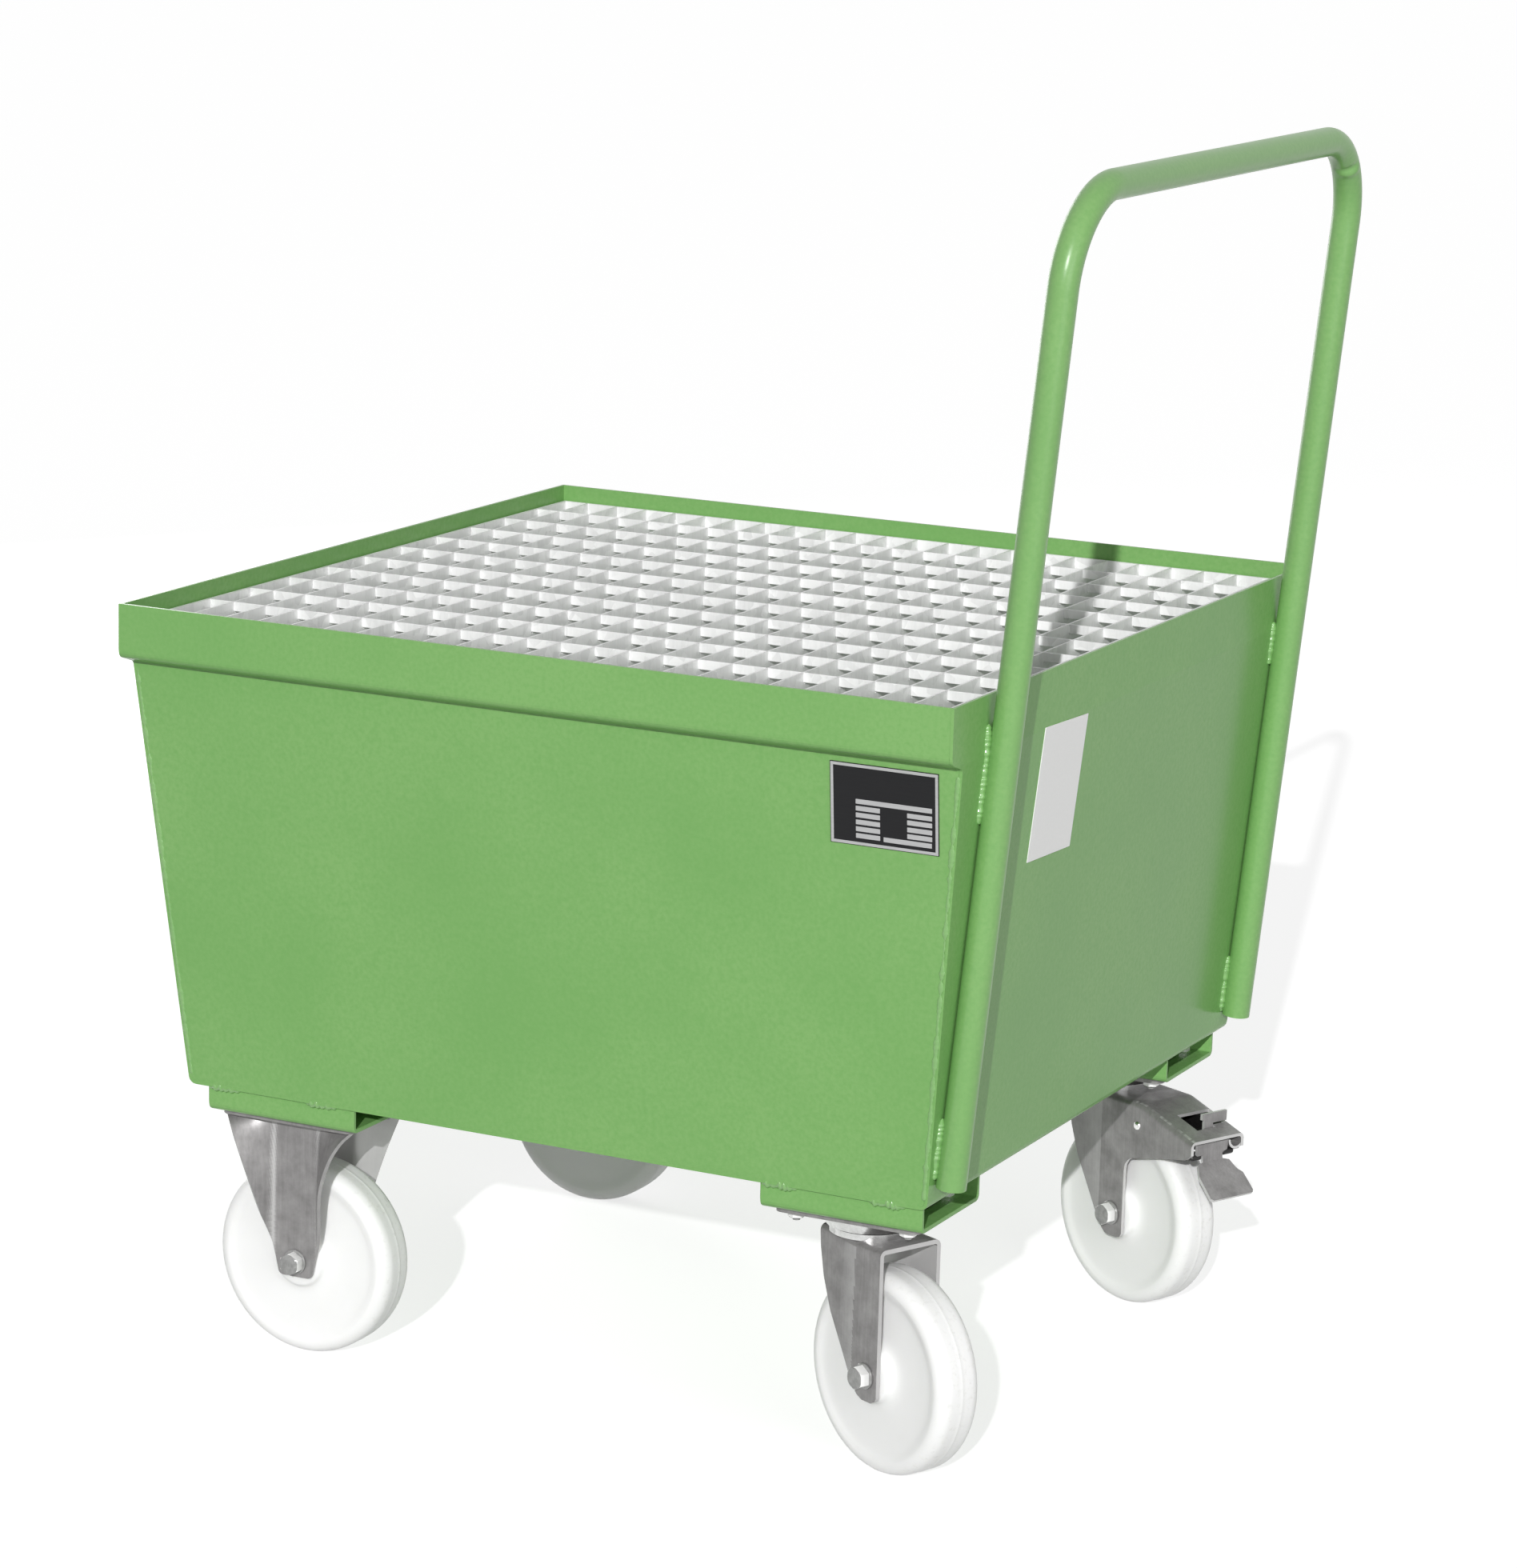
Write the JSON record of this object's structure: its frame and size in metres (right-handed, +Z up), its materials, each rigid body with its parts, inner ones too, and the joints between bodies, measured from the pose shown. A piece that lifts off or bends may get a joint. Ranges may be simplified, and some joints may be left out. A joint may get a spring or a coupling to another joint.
{
  "type": "spill containment pallet",
  "caption": "Mobile spill pallet: folded sheet-steel sump with a lift-out grating deck, bent-tube push handle, fixed and swivel castors and a foot brake.",
  "frame": {"origin": "on the floor, at the middle of the whole object seen from above", "axes": "+X towards the push handle, +Y towards the rear panel, +Z up; the front panel with the data plate faces -Y"},
  "size_m": [0.8678, 0.8, 1.1205],
  "materials": {
    "paint": "semi-gloss green powder coat",
    "galvanised": "hot-dip galvanised, dull spangle",
    "zinc_plate": "pressed sheet, bright zinc plated",
    "fastener": "zinc plated",
    "bright_steel": "turned, bright",
    "polyamide": "moulded natural white, satin",
    "plate": "anodised dark, left bare",
    "card": "pale laminated card, left bare"
  },
  "bodies": {
    "tub": {"tub_wrap": "paint", "front_panel": "paint", "rear_panel": "paint", "bracket_fl": "paint", "bracket_fr": "paint", "bracket_rl": "paint", "bracket_rr": "paint", "push_handle": "paint", "data_plate": "plate", "document_card": "card", "bolts_fl": "fastener", "bolts_fr": "fastener", "bolts_rl": "fastener", "bolts_rr": "fastener", "nuts_fl": "fastener", "nuts_fr": "fastener", "nuts_rl": "fastener", "nuts_rr": "fastener", "fixed_fork_fl": "zinc_plate", "fixed_fork_rl": "zinc_plate", "swivel_plate_fr": "zinc_plate", "swivel_plate_rr": "zinc_plate", "upper_race_fr": "bright_steel", "upper_race_rr": "bright_steel", "king_pin_fr": "bright_steel", "king_pin_rr": "bright_steel", "axle_bolt_fl": "fastener", "axle_nut_fl": "fastener", "axle_sleeve_fl": "bright_steel", "axle_bolt_rl": "fastener", "axle_nut_rl": "fastener", "axle_sleeve_rl": "bright_steel"},
    "grating": {"grating_frame": "galvanised", "bearing_bars": "galvanised", "cross_bars": "galvanised"},
    "swivel_fr": {"swivel_fork_fr": "zinc_plate", "lower_race_fr": "bright_steel", "balls_fr": "bright_steel", "axle_bolt_fr": "fastener", "axle_nut_fr": "fastener", "axle_sleeve_fr": "bright_steel"},
    "swivel_rr": {"brake_fork_rr": "zinc_plate", "lower_race_rr": "bright_steel", "balls_rr": "bright_steel", "axle_bolt_rr": "fastener", "axle_nut_rr": "fastener", "axle_sleeve_rr": "bright_steel", "pedal_pin": "bright_steel", "shoe_pin": "bright_steel"},
    "wheel_fl": {"wheel_fl": "polyamide"},
    "wheel_fr": {"wheel_fr": "polyamide"},
    "wheel_rl": {"wheel_rl": "polyamide"},
    "wheel_rr": {"wheel_rr": "polyamide"},
    "brake_pedal": {"brake_pedal": "zinc_plate"},
    "brake_shoe": {"brake_shoe": "zinc_plate"}
  },
  "joints": [
    {"name": "grating_lift", "type": "slide", "parent": "tub", "child": "grating", "axis": [0, 0, 1], "range_m": [0, 0.15]},
    {"name": "swivel_fr_turn", "type": "hinge", "parent": "tub", "child": "swivel_fr", "pos_m": [0.24709, -0.27, 0.215], "axis": [0, 0, 1], "continuous": true},
    {"name": "swivel_rr_turn", "type": "hinge", "parent": "tub", "child": "swivel_rr", "pos_m": [0.24709, 0.27, 0.215], "axis": [0, 0, 1], "continuous": true},
    {"name": "wheel_fl_roll", "type": "hinge", "parent": "tub", "child": "wheel_fl", "pos_m": [-0.30891, -0.27, 0.09], "axis": [0, 1, 0], "continuous": true},
    {"name": "wheel_rl_roll", "type": "hinge", "parent": "tub", "child": "wheel_rl", "pos_m": [-0.30891, 0.27, 0.09], "axis": [0, 1, 0], "continuous": true},
    {"name": "wheel_fr_roll", "type": "hinge", "parent": "swivel_fr", "child": "wheel_fr", "pos_m": [0.28153, -0.28606, 0.09], "axis": [0.4226, 0.9063, 0], "continuous": true},
    {"name": "wheel_rr_roll", "type": "hinge", "parent": "swivel_rr", "child": "wheel_rr", "pos_m": [0.28153, 0.25394, 0.09], "axis": [0.4226, 0.9063, 0], "continuous": true},
    {"name": "pedal_release", "type": "hinge", "parent": "swivel_rr", "child": "brake_pedal", "pos_m": [0.37035, 0.21252, 0.17], "axis": [-0.4226, -0.9063, 0], "range_deg": [0, 13.75]},
    {"name": "shoe_release", "type": "hinge", "parent": "swivel_rr", "child": "brake_shoe", "pos_m": [0.31053, 0.24042, 0.183], "axis": [0.4226, 0.9063, 0], "range_deg": [0, 4.95]}
  ],
  "couplings": [
    {"joint": "shoe_release", "follows": "pedal_release", "ratio": 0.36}
  ]
}
